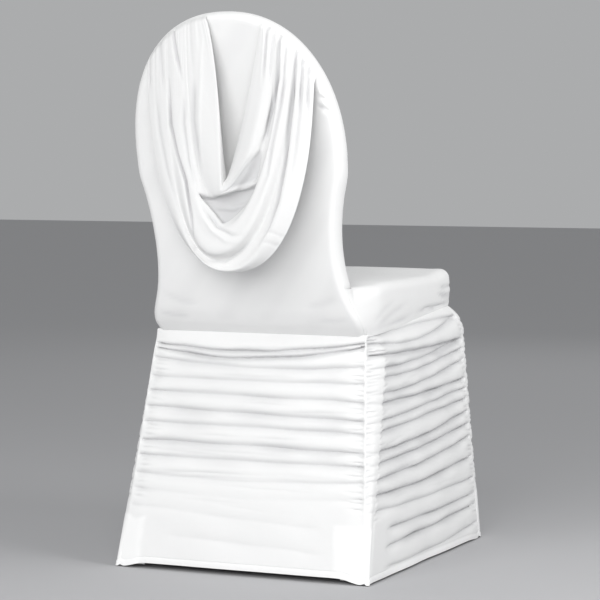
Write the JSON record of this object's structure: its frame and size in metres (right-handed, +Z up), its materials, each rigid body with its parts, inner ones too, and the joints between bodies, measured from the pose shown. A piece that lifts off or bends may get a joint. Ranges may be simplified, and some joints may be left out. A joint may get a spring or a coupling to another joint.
{
  "type": "ruched chair cover",
  "caption": "Fitted white stretch cover for a banquet chair, with gathered skirt panels and a draped swag behind a rounded back.",
  "frame": {"origin": "centre of the footprint, on the floor", "axes": "+Z up, -Y towards the front of the seat, +Y towards the back with the swag, +X to the left of a person behind the chair"},
  "size_m": [0.4652, 0.6172, 0.9305],
  "materials": {
    "cover_cloth": "matte stretch knit",
    "swag_cloth": "matte stretch knit",
    "pocket_cloth": "matte doubled stretch knit"
  },
  "bodies": {
    "root": {"back_front_panel": "cover_cloth", "back_rear_panel": "cover_cloth", "seat_panel": "cover_cloth", "skirt_front": "cover_cloth", "skirt_left": "cover_cloth", "skirt_rear": "cover_cloth", "skirt_right": "cover_cloth", "swag": "swag_cloth", "foot_pocket_front_left": "pocket_cloth", "foot_pocket_front_right": "pocket_cloth", "foot_pocket_rear_left": "pocket_cloth", "foot_pocket_rear_right": "pocket_cloth"}
  },
  "joints": []
}
